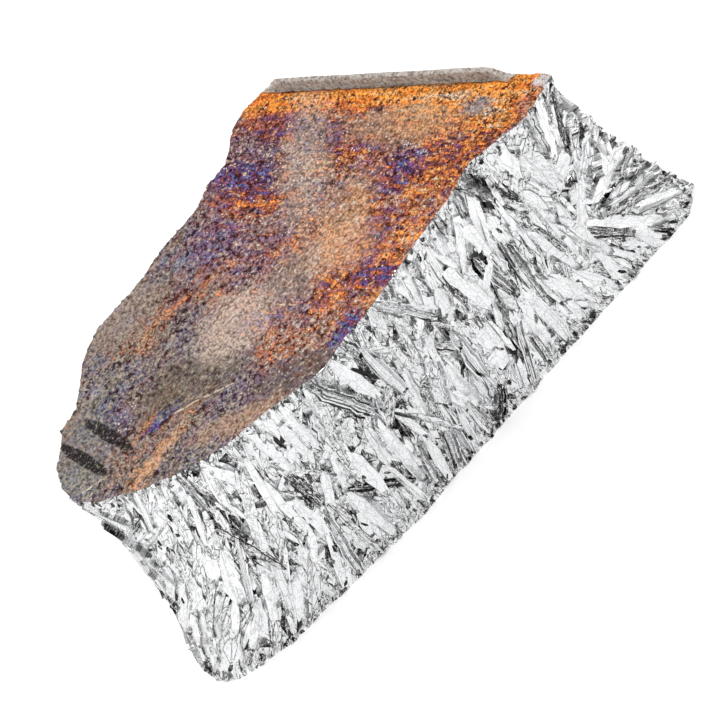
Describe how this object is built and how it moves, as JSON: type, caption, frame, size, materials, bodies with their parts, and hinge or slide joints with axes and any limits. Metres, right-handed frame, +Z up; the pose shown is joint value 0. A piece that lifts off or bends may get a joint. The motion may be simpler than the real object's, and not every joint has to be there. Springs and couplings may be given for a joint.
{
  "type": "bismuth metal chunk",
  "caption": "Broken end of a cast bismuth slab: a tarnished iridescent cast skin on top, a raised lip along one edge, and a bright coarse-crystalline fracture.",
  "frame": {"origin": "centre of the bounding box in plan, on the plane of the flat underside that the chunk rests on", "axes": "+Z up from the flat cast underside to the tarnished cast skin; +X along the longest side, from the blunt broken tip to the cast side wall; the long bright fracture faces -Y"},
  "size_m": [0.1014, 0.0512, 0.0384],
  "materials": {
    "bismuth": "bright silver crystalline fracture, with one cast skin tarnished gold, copper, violet, blue and grey"
  },
  "bodies": {
    "root": {"bismuth_chunk": "bismuth"}
  },
  "joints": []
}
